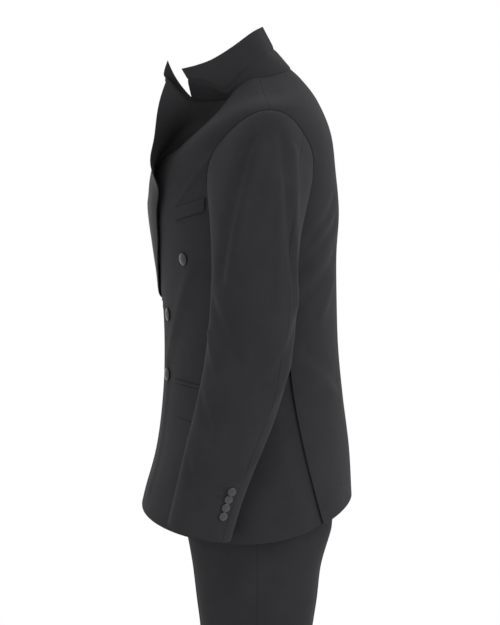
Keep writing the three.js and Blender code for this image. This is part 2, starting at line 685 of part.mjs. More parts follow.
// Flap pocket on each hip, with its upper jet, and one breast welt on the left
for (const [word, side] of sides) {
  const mirrored = side < 0;
  const low = (u) => {
    const near = Math.max(0, 1 - Math.min(u, 1 - u) / FLAP.corner);
    const rounded = FLAP.rounding * (1 - Math.sqrt(1 - near * near));
    return { turn: mix(FLAP.turn0, FLAP.turn1, u), level: mix(FLAP.front, FLAP.back, u) + rounded };
  };
  const top = () => ({ level: FLAP.top });
  cloth(`pocket_flap_${word}`, patch(side, low, top), 12, 2, WOOL, { mirrored });
  const jetLow = (u) => ({
    turn: mix(FLAP.turn0 - JET.reach, FLAP.turn1 + JET.reach, u),
    level: FLAP.top + JET.low,
  });
  const jetTop = () => ({ level: FLAP.top + JET.high });
  cloth(`pocket_jet_${word}`, patch(side, jetLow, jetTop), 12, 1, WOOL, { mirrored });
}
const weltLow = (u) => ({ turn: mix(WELT.turn0, WELT.turn1, u), level: mix(WELT.low0, WELT.low1, u) });
const weltHigh = (u) => ({ level: mix(WELT.high0, WELT.high1, u) });
cloth('breast_welt', patch(1, weltLow, weltHigh), 6, 2, WOOL);

// Front buttons: two columns on the left front, and the splayed top pair
FRONT_BUTTON.rows.forEach((z, row) => {
  for (const [word, side] of sides) {
    const x = side * (row === 0 ? FRONT_BUTTON.topX : FRONT_BUTTON.columnX);
    const start = new THREE.Vector3(x, row === 0 ? -85 : -115, z);
    const { turn, level } = nearestOnFront(1, start, x / 3, 5 - 1.3 * row);
    const outward = normalOf(torso, turn, level, 0.5, 0.01);
    const lift = side < 0 && row === 1 ? HIGH_BUTTON_SEAT : BUTTON_SEAT;
    button(`front_button_${word}_${row + 1}`, torso(turn, level, lift), outward, FRONT_BUTTON);
  }
});

// Cuff buttons, in a row up the hind seam
for (const [word, side] of sides) {
  for (let i = 0; i < CUFF_BUTTON.count; i += 1) {
    const along = 1 - (CUFF_BUTTON.aboveHem + i * CUFF_BUTTON.pitch) / SLEEVE_MM_PER_LENGTH;
    const place = sleeveSurface(side, CUFF_BUTTON.turn, along, BUTTON_SEAT);
    const outward = normalOf(plainSleeve, CUFF_BUTTON.turn, along, 1, -0.01);
    outward.x *= side;
    button(`cuff_button_${word}_${i + 1}`, place, outward, CUFF_BUTTON);
  }
}

export default suit;
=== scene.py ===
"""Looks of a double-breasted dinner suit, filled out as if worn, with its collar turned up.

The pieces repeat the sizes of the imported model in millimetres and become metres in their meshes.
+X is the wearer's left, -Y the front, +Z up, and the origin is the middle of the neck opening.
"""

import math

import bpy
import numpy as np
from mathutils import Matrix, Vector


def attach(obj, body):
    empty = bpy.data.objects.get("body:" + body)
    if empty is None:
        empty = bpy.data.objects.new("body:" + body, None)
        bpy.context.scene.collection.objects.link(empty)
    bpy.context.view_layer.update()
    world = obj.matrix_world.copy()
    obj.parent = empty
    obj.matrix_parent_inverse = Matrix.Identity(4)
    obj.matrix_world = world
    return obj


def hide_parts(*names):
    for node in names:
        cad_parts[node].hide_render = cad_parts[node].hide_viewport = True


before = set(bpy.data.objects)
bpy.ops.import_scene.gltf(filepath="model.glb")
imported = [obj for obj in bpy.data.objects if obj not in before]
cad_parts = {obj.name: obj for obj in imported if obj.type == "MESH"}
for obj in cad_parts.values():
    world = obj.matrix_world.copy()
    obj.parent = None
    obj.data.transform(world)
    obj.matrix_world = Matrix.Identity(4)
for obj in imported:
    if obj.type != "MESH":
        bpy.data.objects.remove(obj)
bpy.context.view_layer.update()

MM = 0.001
RAD = math.pi / 180

# Cloth
WALL = 2.0
CELL = 5.0  # spacing of the mesh lines on a panel
EDGE_ROLL = 0.9  # how wide the rounding of a cut edge is
EDGE_LINES = (0.0, 0.03, 0.12, 0.3, 0.6, 0.9, 1.6, 2.8)  # mesh lines this far from an edge
LAYER = 2.9
SEAM_TURN = -0.08  # the sewn edges run into each other by this many degrees

# Jacket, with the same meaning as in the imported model
OVERLAP = 70
UNDERLAP_DEPTH = 7.4
UNDERLAP_TURNS = (-42, -24)
UNDERLAP_LEVELS = (6.2, 7.6)
HEM_CORNER_WIDTH, HEM_CORNER_RISE = 0.2, 0.48
BUTTON_LEVEL = 3.85
FRONT_SEAM_TURN, BACK_SEAM_TURN = 72, 115
VENT_TOP, VENT_HEM_TURN, VENT_UNDERLAP, VENT_DEPTH = 2.9, 135, 10, 4
ARMHOLE_LOW, ARMHOLE_HIGH = 5.85, 9.05
ARMHOLE_REACH = {"front": 25, "back": 40}
ARMHOLE_MIDDLE = (ARMHOLE_LOW + ARMHOLE_HIGH) / 2
ARMHOLE_RISE = (ARMHOLE_HIGH - ARMHOLE_LOW) / 2
ARMHOLE_GAP = -1.2  # the sleeve's edge lies inside the armhole's edge
NECK = 11
GORGE_TURN = 58
TORSO_MM = (3, 75)  # millimetres for a degree of turn and for a level
SLEEVE_MM = (1, 660)

# Buttons
FRONT_RADIUS, FRONT_HEIGHT = 10, 5
FRONT_COLUMN_X, FRONT_TOP_X = 52, 129
FRONT_ROWS = (-282, -379, -476)
HOLE_TURN, HOLE_LEVELS, HOLE_SIZE = -17.5, (1.85, 2.85), (22, 2.2)  # buttonholes of the front's edge
CUFF_HOLE_SHIFT, CUFF_HOLE_SIZE, THREAD_RADIUS = -14, (11, 2.0), 0.5
CUFF_RADIUS, CUFF_HEIGHT = 6.8, 3.6
CUFF_PITCH, CUFF_ABOVE_HEM, CUFF_COUNT, CUFF_TURN = 15, 44, 4, 32
BUTTON_SEAT = 0.6
HIGH_BUTTON_SEAT = 1.5

SIDES = (("left", 1), ("right", -1))


def table(columns, rows):
    """Columns by name, each an array with one value for each row."""
    return {name: np.array([row[i] for row in rows], float) for i, name in enumerate(columns)}


TORSO = table(
    ("z_front", "z_side", "z_back", "half_width", "y_front", "y_side", "y_back", "front_shape", "back_shape"),
    (
        (-701, -712, -682, 222, -162, 8, 182, 2.0, 2.0),
        (-612, -612, -602, 213, -137, 8, 177, 1.9, 2.1),
        (-520, -520, -516, 197, -125, 12, 166, 1.8, 2.3),
        (-435, -435, -435, 184, -122, 14, 158, 1.75, 2.4),
        (-355, -355, -355, 183, -125, 13, 155, 1.75, 2.5),
        (-283, -283, -283, 190, -133, 10, 154, 1.8, 2.7),
        (-218, -216, -216, 198, -140, 6, 157, 1.9, 3.0),
        (-190, -160, -150, 201, -137, 8, 151, 1.95, 3.3),
        (-150, -105, -90, 208, -128, 20, 143, 2.0, 3.1),
        (-115, -52, -40, 225, -98, 42, 122, 2.0, 2.4),
        (-100, -28, -8, 150, -75, 36, 98, 2.0, 2.2),
        (-106, -3, 11, 76, -55, 28, 78, 2.0, 2.0),
    ),
)

# Soft ridges, and troughs where the height is below zero, on the torso
TORSO_FOLDS = table(
    ("turn0", "along0", "turn1", "along1", "width", "height"),
    (
        (-14, 0.4, -14, 4.0, 42, 6),
        (-14, 4.0, 12, 8.4, 22, 5),
        (52, 4.9, 14, 2.8, 13, 3),
        (14, 2.6, 12, 0.4, 12, 2),
        (78, 8.6, 44, 6.5, 7, 1.6),
        (148, 6.4, 122, 5.2, 11, -3),
        (150, 5.8, 119, 4.8, 12, -3.4),
        (153, 5.0, 117, 4.0, 12, -3),
        (152, 4.5, 138, 3.8, 12, 2.4),
        (126, 3.1, 156, 2.4, 12, -2.4),
        (128, 2.8, 160, 2.0, 12, 2),
        (-52, 4.7, -24, 3.4, 13, 3),
        (-146, 6.3, -121, 5.1, 11, -3),
        (-152, 5.6, -118, 4.6, 12, -3.2),
        (-154, 4.9, -122, 4.1, 13, -2.8),
        (-127, 3.2, -155, 2.3, 12, -2.2),
    ),
)

SLEEVE = table(
    ("x", "y", "z", "half_thickness", "half_depth"),
    (
        (253, 22, -292, 58, 64),
        (251, 19, -365, 56, 65),
        (249, 9, -435, 53, 63),
        (249, -7, -500, 49, 60),
        (249, -27, -562, 45, 55.5),
        (248, -45, -622, 42, 51.5),
        (247, -62, -686, 40, 49.5),
    ),
)
CAP_SHARE = 0.36
CAP_START = (18, 44)
CAP_END = (20, 118)
CAP_OUT, CAP_DOWN = 0.12, 0.93
SLEEVE_FORE_TURN = -112
SLEEVE_HIND_TURNS = (60, 46)
SLEEVE_FADE = (0.08, 0.95)

SLEEVE_FOLDS = table(
    ("turn0", "along0", "turn1", "along1", "width", "height"),
    (
        (-20, 0.12, -52, 0.36, 8, -5),
        (-2, 0.12, -34, 0.37, 9, 3.4),
        (24, 0.10, 66, 0.37, 8, -4.6),
        (44, 0.12, 78, 0.42, 9, 3.6),
        (30, 0.20, 34, 0.42, 6, 2.4),
        (-72, 0.42, -12, 0.55, 10, -3.8),
        (-76, 0.50, -24, 0.62, 9, 3),
        (80, 0.46, 30, 0.60, 10, -3.2),
        (84, 0.54, 44, 0.66, 9, 2.4),
        (-70, 0.66, -20, 0.76, 9, -2.8),
        (70, 0.76, 30, 0.86, 9, 2.6),
        (-60, 0.82, -22, 0.92, 9, -2),
    ),
)

# Lapel along its roll line: how far the leaf reaches, the radius of its roll, how far it is raised
# from the chest in degrees, and how much its middle bows out
LAPEL = table(
    ("level", "turn", "reach", "roll", "raised", "bow"),
    (
        (3.85, -18, 10, 1.85, 4, 0.5),
        (4.35, -13.2, 38, 1.9, 2, 1),
        (4.87, -8.2, 61, 2.0, 2, 2),
        (5.4, -3.6, 77, 2.0, 2, 3),
        (6.0, 0.9, 87, 2.2, 2, 3),
        (7.2, 5.4, 93, 2.8, 3, 3),
        (8.15, 9.6, 96, 4.4, 5, 3),
        (9.15, 13.1, 99, 10, 20, 3),
        (10.4, 31, 112, 15, 74, 1),
        (11, 58, 122, 10, 101, 0),
    ),
)
GORGE_DROP, NOTCH_SHARE, PEAK_RISE, PEAK_CURVE = 0.65, 0.5, 0.45, 1.6
LAID_ROWS = (5, 7)
FREE_ROLL = (3.5, 9)  # roll radii between which the leaf leaves the chest
RIGHT_LAPEL_SHIFT, SHIFTED_ROWS = (0, -2, -10), (6.5, 8.5)
FRAME_REACH = 1.2  # rows over which the roll line's direction is evened out
FRAME_STEPS = (6, 0.5)  # turns and levels over which the chest's direction is
ROLL_LINES = (0.005, 0.01, 0.015, 0.02, 0.03, 0.04, 0.05, 0.06, 0.07, 0.08, 0.1)

COLLAR = table(
    ("seam_turn", "gorge_share", "crease_x", "crease_y", "crease_z", "top_x", "top_y", "top_z"),
    (
        (180, 0, 0, 53, 40, 0, 34, 76),
        (135, 0, 50, 38, 31, 44, 17, 66),
        (90, 0, 70, 12, 12, 64, -14, 43),
        (GORGE_TURN, 0, 69, -22, -22, 71, -44, 25),
        (GORGE_TURN, 0.5, 72, -52, -10, 75, -68, 16),
        (GORGE_TURN, 1, 75, -83, -5, 77, -92, 10),
    ),
)
COLLAR_WALL, COLLAR_LIFT, COLLAR_BEND = 2.6, -1.6, 0.48
COLLAR_GROOVE, GROOVE_WIDTH = 1.6, 0.05  # where the turned-up collar used to fold

TROUSERS = table(
    ("z", "x_in", "y_in_front", "y_in_back", "x_mid", "y_front", "y_back", "x_out", "y_out"),
    (
        (-430, 0.2, -93, 128, 62, -93, 129, 158, 16),
        (-520, 0.2, -96, 142, 64, -98, 146, 169, 18),
        (-600, 0.2, -92, 154, 68, -99, 162.6, 179, 20),
        (-660, 0.2, -70, 136, 74, -96, 158, 182, 23),
        (-700, 0.2, -24, 82, 83, -89, 148, 182, 25),
        (-724, 1.2, 22, 26, 90, -86, 144, 181, 26),
        (-780, 9, 26, 26, 93, -75, 127, 175, 26),
        (-836, 14, 27, 27, 93, -68, 120, 170, 26),
        (-900, 19, 28, 28, 94, -61, 111, 165, 26),
        (-1050, 30, 24, 24, 94, -52, 95, 157, 22),
        (-1200, 36, 19, 19, 93, -48, 85, 149, 18),
        (-1350, 38, 15, 15, 91, -49, 79, 143, 15),
        (-1475, 38, 13, 13, 90, -50, 77, 141, 13),
    ),
)
CREASE_HEIGHT, CREASE_WIDTH, CREASE_ENDS = 2.2, 0.012, (700, 820)  # pressed crease of each leg
WAISTBAND_HEIGHT, WAISTBAND_TAPER = 38, 0.985

FLAP = {"turns": (29, 80), "top": 2.42, "low": (1.86, 1.8), "corner": 0.12, "rounding": 0.12}
JET = {"reach": 1, "low": 0.006, "high": 0.07}
WELT = {"turns": (42, 66), "low": (5.9, 6.22), "high": (6.3, 6.62)}


# ---------------------------------------------------------------- shape functions
def between(rows, t):
    """Smooth values between the rows of a table, at row numbers t."""
    t = np.asarray(t, float)
    last = len(next(iter(rows.values()))) - 1
    i = np.clip(np.floor(t).astype(int), 0, last - 1)
    f = t - i
    result = {}
    for key, column in rows.items():
        ends = (2 * column[0] - column[1], 2 * column[-1] - column[-2])
        padded = np.concatenate((ends[:1], column, ends[1:]))
        a, b, c, d = (padded[i + k] for k in range(4))
        slope0, slope1 = (c - a) / 2, (d - b) / 2
        result[key] = (
            (2 * f**3 - 3 * f**2 + 1) * b
            + (f**3 - 2 * f**2 + f) * slope0
            + (3 * f**2 - 2 * f**3) * c
            + (f**3 - f**2) * slope1
        )
    return result


def smooth(low, high, value):
    share = np.clip((value - low) / (high - low), 0, 1)
    return share * share * (3 - 2 * share)


def mix(a, b, share):
    return a + (b - a) * share


def vector(x, y, z):
    return np.stack(np.broadcast_arrays(x, y, z), axis=-1).astype(float)


def unit(v):
    return v / np.maximum(np.linalg.norm(v, axis=-1, keepdims=True), 1e-9)


def dot(a, b):
    return (a * b).sum(-1)


def times(scale, v):
    """Vectors v, each by its own scale."""
    return np.asarray(scale, float)[..., None] * v


def fold_height(folds, turn, along, scale):
    """Height of all folds at places of a surface."""
    height = np.zeros(np.broadcast(turn, along).shape)
    for k in range(len(folds["turn0"])):
        turn0, along0, turn1, along1, width, rise = (folds[key][k] for key in folds)
        ax, ay = (turn - turn0) * scale[0], (along - along0) * scale[1]
        bx, by = (turn1 - turn0) * scale[0], (along1 - along0) * scale[1]
        share = np.clip((ax * bx + ay * by) / (bx * bx + by * by), 0, 1)
        away = np.hypot(ax - share * bx, ay - share * by) / width
        height = height + rise * np.exp(-away * away)
    return height


def ring(turn, level):
    row = between(TORSO, level)
    s, c = np.sin(turn * RAD), np.cos(turn * RAD)
    front = c > 0
    shape = np.where(front, row["front_shape"], row["back_shape"])
    size = (np.abs(s) ** shape + np.abs(c) ** shape) ** (1 / shape)
    y_far = np.where(front, row["y_front"], row["y_back"])
    z_far = np.where(front, row["z_front"], row["z_back"])
    return vector(
        row["half_width"] * s / size,
        row["y_side"] + (y_far - row["y_side"]) * np.abs(c) / size,
        row["z_side"] + (z_far - row["z_side"]) * c * c,
    )


def normal_of(surface, a, b, step_a, step_b):
    along_a = surface(a + step_a, b) - surface(a - step_a, b)
    along_b = surface(a, b + step_b) - surface(a, b - step_b)
    return unit(np.cross(along_a, along_b))


def torso(turn, level, lift=0.0):
    """Outside of the jacket's body at a turn from centre front and a level, moved out by a lift."""
    turn, level = np.broadcast_arrays(np.asarray(turn, float), np.asarray(level, float))
    height = fold_height(TORSO_FOLDS, turn, level, TORSO_MM)
    return ring(turn, level) + times(height + lift, normal_of(ring, turn, level, 0.5, 0.01))


def underlap_lift(turn, level):
    under = smooth(*UNDERLAP_TURNS, turn) * (1 - smooth(*UNDERLAP_LEVELS, level))
    return -UNDERLAP_DEPTH * under


def front_surface(side, turn, level, lift=0.0):
    """Outside of one front, with the right front sunk where the left one covers it."""
    sunk = underlap_lift(-turn, level) if side < 0 else 0.0
    return torso(side * turn, level, lift + sunk)


def nearest_on_front(side, point, turn, level):
    """Turn and level of one front's outside that lie nearest to points."""
    turn, level = np.array(turn, float), np.array(level, float)
    for _ in range(12):
        here = front_surface(side, turn, level)
        per_turn = (front_surface(side, turn + 0.2, level) - here) / 0.2
        per_level = (front_surface(side, turn, level + 0.01) - here) / 0.01
        miss = point - here
        aa, ab, bb = dot(per_turn, per_turn), dot(per_turn, per_level), dot(per_level, per_level)
        det = aa * bb - ab * ab
        ra, rb = dot(miss, per_turn), dot(miss, per_level)
        turn = turn + (ra * bb - rb * ab) / det
        level = level + (rb * aa - ra * ab) / det
    return turn, level


def armhole_half(level, side):
    share = np.clip(np.abs(level - ARMHOLE_MIDDLE) / ARMHOLE_RISE, 0, 1)
    return ARMHOLE_REACH[side] * np.sqrt(1 - share * share)


def back_seam_turn(level):
    opened = np.clip((VENT_TOP - level) / VENT_TOP, 0, 1)
    return mix(BACK_SEAM_TURN, VENT_HEM_TURN, opened**1.5)


def front_edge_turn(level):
    """Turn of the front's free edge and, above the button, of its roll line."""
    rows = between(LAPEL, np.linspace(0, len(LAPEL["level"]) - 1, 400))
    roll = np.interp(level, rows["level"], rows["turn"])
    half_width = between(TORSO, level)["half_width"]
    free = -np.arcsin(OVERLAP / half_width) / RAD + 2 * (1 - level / BUTTON_LEVEL)
    return np.where(level >= BUTTON_LEVEL, roll, free)


def hem_rise(u):
    near = np.maximum(0, 1 - u / HEM_CORNER_WIDTH)
    return HEM_CORNER_RISE * (1 - np.sqrt(1 - near * near))


def front_panel(side):
    def surface(u, v):
        level = mix(hem_rise(u), NECK, v)
        inner = front_edge_turn(level) + SEAM_TURN
        half = armhole_half(level, "front")
        outer = np.where(level < ARMHOLE_LOW, FRONT_SEAM_TURN, np.minimum(FRONT_SEAM_TURN, 90 - half))
        outer = np.where(level >= ARMHOLE_MIDDLE, 90 - half, outer)
        return front_surface(side, mix(inner, outer - SEAM_TURN, u), level)

    return surface


def side_panel(side):
    def surface(u, v):
        turn0 = FRONT_SEAM_TURN + SEAM_TURN
        flat_turn = mix(turn0, BACK_SEAM_TURN, u)
        reach = np.where(flat_turn < 90, ARMHOLE_REACH["front"], ARMHOLE_REACH["back"])
        share = (90 - flat_turn) / reach
        level = v * (ARMHOLE_MIDDLE - ARMHOLE_RISE * np.sqrt(1 - share * share))
        opened = 1 - smooth(VENT_TOP - 0.5, VENT_TOP - 0.2, level)
        sunk = 1 - smooth(VENT_TOP - 0.2, VENT_TOP + 0.3, level)
        edge = back_seam_turn(level)
        turn = mix(turn0, edge - SEAM_TURN + VENT_UNDERLAP * opened, u)
        return torso(side * turn, level, -VENT_DEPTH * sunk * smooth(edge - 14, edge - 3, turn))

    return surface


def back_panel(side):
    def surface(u, v):
        level = v * NECK
        seam = back_seam_turn(level)
        full = 90 + armhole_half(level, "back")
        outer = np.where(level < ARMHOLE_LOW, seam, np.maximum(seam, full))
        outer = np.where(level >= ARMHOLE_MIDDLE, full, outer)
        return torso(side * mix(outer + SEAM_TURN, 180 - SEAM_TURN, u), level)

    return surface


def armhole(turn, lift):
    """Armhole line round the left arm: 0 at the shoulder point, 90 back, 180 armpit."""
    s = np.sin(turn * RAD)
    reach = np.where(s > 0, ARMHOLE_REACH["back"], ARMHOLE_REACH["front"])
    return torso(90 + reach * s, ARMHOLE_MIDDLE + ARMHOLE_RISE * np.cos(turn * RAD), lift)


def sleeve_tube(turn, at):
    row, ahead = between(SLEEVE, at), between(SLEEVE, at + 0.1)
    axis = unit(vector(*(ahead[k] - row[k] for k in "xyz")))
    backward = unit(-np.cross(np.array((1.0, 0, 0)), axis))
    backward = times(np.where(backward[..., 1] < 0, -1.0, 1.0), backward)
    centre = vector(row["x"] + row["half_thickness"] * np.cos(turn * RAD), row["y"], row["z"])
    return centre + times(row["half_depth"] * np.sin(turn * RAD), backward)


def plain_sleeve(turn, along):
    turn, along = np.broadcast_arrays(np.asarray(turn, float), np.asarray(along, float))
    at = np.maximum(along - CAP_SHARE, 0) / (1 - CAP_SHARE) * (len(SLEEVE["x"]) - 1)
    tube = sleeve_tube(turn, at)
    f = (along / CAP_SHARE)[..., None]
    top = (1 + np.cos(turn * RAD)) / 2
    start, end = armhole(turn, ARMHOLE_GAP), sleeve_tube(turn, np.zeros_like(turn))
    outward = unit(vector(mix(CAP_OUT, 1, top), 0, CAP_DOWN * top - 1))
    first = start + times(mix(*CAP_START, top), outward)
    second = end + vector(0, 0, mix(*CAP_END, top))
    g = 1 - f
    cap = g**3 * start + 3 * g * g * f * first + 3 * g * f * f * second + f**3 * end
    return np.where((along >= CAP_SHARE)[..., None], tube, cap)


def sleeve_surface(side, turn, along, lift=0.0):
    """Outside of a sleeve with its folds, moved out by a lift."""
    turn, along = np.broadcast_arrays(np.asarray(turn, float), np.asarray(along, float))
    wrapped = np.where(turn > 180, turn - 360, turn)
    height = fold_height(SLEEVE_FOLDS, wrapped, along, SLEEVE_MM)
    out = normal_of(plain_sleeve, turn, along, 1, -0.01)
    fade = smooth(0, SLEEVE_FADE[0], along) * (1 - smooth(SLEEVE_FADE[1], 1, along))
    return (plain_sleeve(turn, along) + times(height * fade + lift, out)) * (side, 1, 1)


def sleeve_panel(side, turn0, turn1):
    def surface(u, v):
        along = 1 - v
        return sleeve_surface(side, mix(turn0(along), turn1(along), u), along)

    return surface


def lapel_frame(side, at):
    """Places on a roll line, with the directions off the chest and along it."""

    def place(rows_at):
        row = between(LAPEL, np.clip(rows_at, 0, len(LAPEL["level"]) - 1))
        return side * row["turn"], row["level"]

    turn, level = place(at)
    off = normal_of(ring, turn, level, *FRAME_STEPS)
    up = unit(ring(*place(at + FRAME_REACH)) - ring(*place(at - FRAME_REACH)))
    return front_surface(side, side * turn, level), off, unit(np.cross(up, off) * side)


def lapel_rows(u, v):
    """Row number of the lapel's table at a place of the leaf."""
    notch = np.minimum(u / NOTCH_SHARE, 1)
    peak = np.maximum(0, (u - NOTCH_SHARE) / (1 - NOTCH_SHARE))
    last = len(LAPEL["level"]) - 1
    return v * (last - GORGE_DROP * notch + PEAK_RISE * peak**PEAK_CURVE)


def leaf(side, u, v):
    """Satin face of a lapel: it rolls back from the front's edge and lies on the chest or stands up."""
    at = lapel_rows(u, v)
    row = between(LAPEL, at)
    start, off, out = lapel_frame(side, at)
    angle = row["raised"] * RAD
    covered = 1 - smooth(*LAID_ROWS, at) if side < 0 else 0.0
    radius = row["roll"]
    away = u * row["reach"]
    turned = np.minimum(away / radius, math.pi - angle)
    beyond = away - turned * radius
    face = radius + WALL / 2
    rolled_out = -face * np.sin(turned) + beyond * np.cos(angle)
    rolled_off = radius - WALL / 2 - face * np.cos(turned) + (1 - covered) * beyond * np.sin(angle)
    bulge = row["bow"] * np.sin(math.pi * u) * (1 - covered)
    free = start + times(rolled_out - bulge * np.sin(angle), out) + times(rolled_off + bulge * np.cos(angle), off)
    turn, level = nearest_on_front(side, start + times(rolled_out, out), row["turn"], row["level"])
    laid = front_surface(side, turn, level, rolled_off + bulge)
    loose = np.maximum(smooth(*FREE_ROLL, radius), 1 - smooth(1, 12, beyond))
    point = laid + times(loose, free - laid)
    if side < 0:
        point = point + times(u * smooth(*SHIFTED_ROWS, at), np.array(RIGHT_LAPEL_SHIFT))
    return point


def gorge(share):
    _, _, out = lapel_frame(1, len(LAPEL["level"]) - 1 - GORGE_DROP * share)
    return leaf(1, share * NOTCH_SHARE, np.ones_like(share)) + WALL * out


def collar(u, v):
    """Collar across its height, u from the front end on one side round to the other."""
    u, v = np.broadcast_arrays(u, v)
    at = np.abs(2 * u - 1) * (len(COLLAR["seam_turn"]) - 1)
    row = between(COLLAR, at)
    share = np.maximum(row["gorge_share"], 0)
    seam = np.where((share > 0.001)[..., None], gorge(share), torso(row["seam_turn"], NECK))
    seam = seam + vector(0, 0, COLLAR_LIFT)
    crease = vector(row["crease_x"], row["crease_y"], row["crease_z"])
    top = vector(row["top_x"], row["top_y"], row["top_z"])
    stand = seam + times(v / COLLAR_BEND, crease - seam)
    fall = crease + times((v - COLLAR_BEND) / (1 - COLLAR_BEND), top - crease)
    point = np.where((v < COLLAR_BEND)[..., None], stand, fall)
    groove = COLLAR_GROOVE * np.exp(-(((v - COLLAR_BEND) / GROOVE_WIDTH) ** 2))
    middle = vector(0, 0, point[..., 2])
    point = point + times(groove, unit(middle - point))
    point[..., 0] = np.where(u > 0.5, np.abs(point[..., 0]), -np.abs(point[..., 0]))
    return point


def trouser_panel(side, face):
    outward = -1 if face == "front" else 1

    def surface(u, v):
        row = between(TROUSERS, (1 - v) * (len(TROUSERS["z"]) - 1))
        y_in, y_far = row["y_in_" + face], row["y_" + face]
        angle = math.pi * u
        c, s = np.cos(angle), np.sin(angle)
        x = row["x_mid"] - np.where(c > 0, row["x_mid"] - row["x_in"], row["x_out"] - row["x_mid"]) * c
        y = np.where(c > 0, y_in + (y_far - y_in) * s, row["y_out"] + (y_far - row["y_out"]) * s)
        pressed = np.exp(-(((u - 0.5) / CREASE_WIDTH) ** 2)) * smooth(*CREASE_ENDS, -row["z"])
        y = y + outward * CREASE_HEIGHT * pressed
        return vector(side * x, y, row["z"])

    return surface


def waistband(side):
    def surface(u, v):
        share = np.where(u < 0.5, u * 2, 2 - u * 2)
        top = np.ones_like(share)
        front, back = trouser_panel(side, "front")(share, top), trouser_panel(side, "back")(share, top)
        point = np.where((u < 0.5)[..., None], front, back)
        x = np.abs(point[..., 0]) * mix(1, WAISTBAND_TAPER, v)
        return vector(side * x, point[..., 1], point[..., 2] + v * WAISTBAND_HEIGHT)

    return surface


def patch(side, turns, low, high):
    def surface(u, v):
        return torso(side * mix(*turns, u), mix(low(u), high(u), v), LAYER)

    return surface


# ---------------------------------------------------------------- meshes
def lines(length, extra=()):
    """Places of the mesh lines across a panel of about that length, from 0 to 1, closer at the edges."""
    inner = np.linspace(EDGE_LINES[-1] / length, 1 - EDGE_LINES[-1] / length, max(3, round(length / CELL)))
    near = np.array(EDGE_LINES[:-1]) / length
    places = np.concatenate((near, inner, 1 - near, np.array(extra, float)))
    places.sort()
    keep = np.concatenate(([True], np.diff(places) > 1e-6))
    return places[keep]


def run(points, axis):
    """Length run along one axis of a grid of points."""
    step = np.linalg.norm(np.diff(points, axis=axis), axis=-1)
    pad = [(0, 0), (0, 0)]
    pad[axis] = (1, 0)
    return np.pad(np.cumsum(step, axis=axis), pad)


def mesh_object(name, vertices, faces, uvs, face_materials, materials):
    mesh = bpy.data.meshes.new(name)
    mesh.from_pydata((vertices * MM).tolist(), [], faces.tolist())
    for material in materials:
        mesh.materials.append(material)
    mesh.polygons.foreach_set("material_index", face_materials.astype("int32"))
    layer = mesh.uv_layers.new(name="UVMap")
    loops = np.empty(len(mesh.loops), "int32")
    mesh.loops.foreach_get("vertex_index", loops)
    layer.data.foreach_set("uv", (uvs[loops] * MM).astype("float32").ravel())
    mesh.shade_smooth()
    mesh.update()
    piece = bpy.data.objects.new(name, mesh)
    bpy.context.collection.objects.link(piece)
    return piece


def cloth(name, surface, size, faces, mirrored=False, wall=WALL, extra_u=(), extra_v=()):
    """A sheet with rounded edges whose outer face is a surface of u and v.

    size is the sheet's rough width and height, and faces its outer and inner material.
    """
    u, v = np.meshgrid(lines(size[0], extra_u), lines(size[1], extra_v))
    step = 0.004
    point = surface(u, v)
    u_low, u_high = np.clip(u - step, 0, 1), np.clip(u + step, 0, 1)
    v_low, v_high = np.clip(v - step, 0, 1), np.clip(v + step, 0, 1)
    out = unit(np.cross(surface(u_high, v) - surface(u_low, v), surface(u, v_high) - surface(u, v_low)))
    if mirrored:
        out = -out
    run_u, run_v = run(point, 1), run(point, 0)
    edge = np.minimum.reduce((run_u, run_u[:, -1:] - run_u, run_v, run_v[-1:] - run_v))
    near = 1 - np.clip(edge / EDGE_ROLL, 0, 1)
    depth = wall / 2 * (1 - np.sqrt(1 - near * near))
    outer = point - times(depth, out)
    inner = point - times(wall - depth, out)
    rows, columns = outer.shape[:2]
    number = np.arange(rows * columns).reshape(rows, columns)
    a, b = number[:-1, :-1].ravel(), number[:-1, 1:].ravel()
    c, d = number[1:, 1:].ravel(), number[1:, :-1].ravel()
    count = rows * columns
    face = np.stack((a, b, c, d), 1)
    back = np.stack((d, c, b, a), 1) + count
    rim = np.concatenate((number[0], number[1:, -1], number[-1, -2::-1], number[-2:0:-1, 0]))
    after = np.roll(rim, -1)
    edge_faces = np.stack((after, rim, rim + count, after + count), 1)
    quads = np.concatenate((face, back, edge_faces))
    if mirrored:
        quads = quads[:, ::-1]
    places = np.concatenate((outer.reshape(-1, 3), inner.reshape(-1, 3)))
    uv = np.stack((run_u, run_v), -1).reshape(-1, 2)
    kinds = np.concatenate((np.zeros(len(face)), np.ones(len(back)), np.zeros(len(edge_faces))))
    materials = list(dict.fromkeys(faces))
    if len(materials) == 1:
        kinds[:] = 0
    return mesh_object(name + "_cloth", places, quads, np.concatenate((uv, uv)), kinds, materials)


def lathe(name, place, outward, profile, sides, material):
    """Round piece about an outward direction: profile is radius and height pairs."""
    across = unit(np.cross(outward, (0.0, 0.0, 1.0)))
    upward = np.cross(across, outward)
    angle = np.linspace(0, 2 * math.pi, sides, endpoint=False)
    ring_points = []
    for radius, height in profile:
        circle = np.outer(np.cos(angle), across) + np.outer(np.sin(angle), upward)
        ring_points.append(place + radius * circle + height * outward)
    points = np.concatenate(ring_points)
    quads = []
    for j in range(len(profile) - 1):
        for i in range(sides):
            k = (i + 1) % sides
            quads.append((j * sides + i, j * sides + k, (j + 1) * sides + k, (j + 1) * sides + i))
    uv = np.stack((np.tile(np.cos(angle), len(profile)), np.tile(np.sin(angle), len(profile))), 1)
    uv = uv * np.repeat([max(r, 0.2) for r, _ in profile], sides)[:, None]
    return mesh_object(name + "_shown", points, np.array(quads), uv, np.zeros(len(quads)), [material])


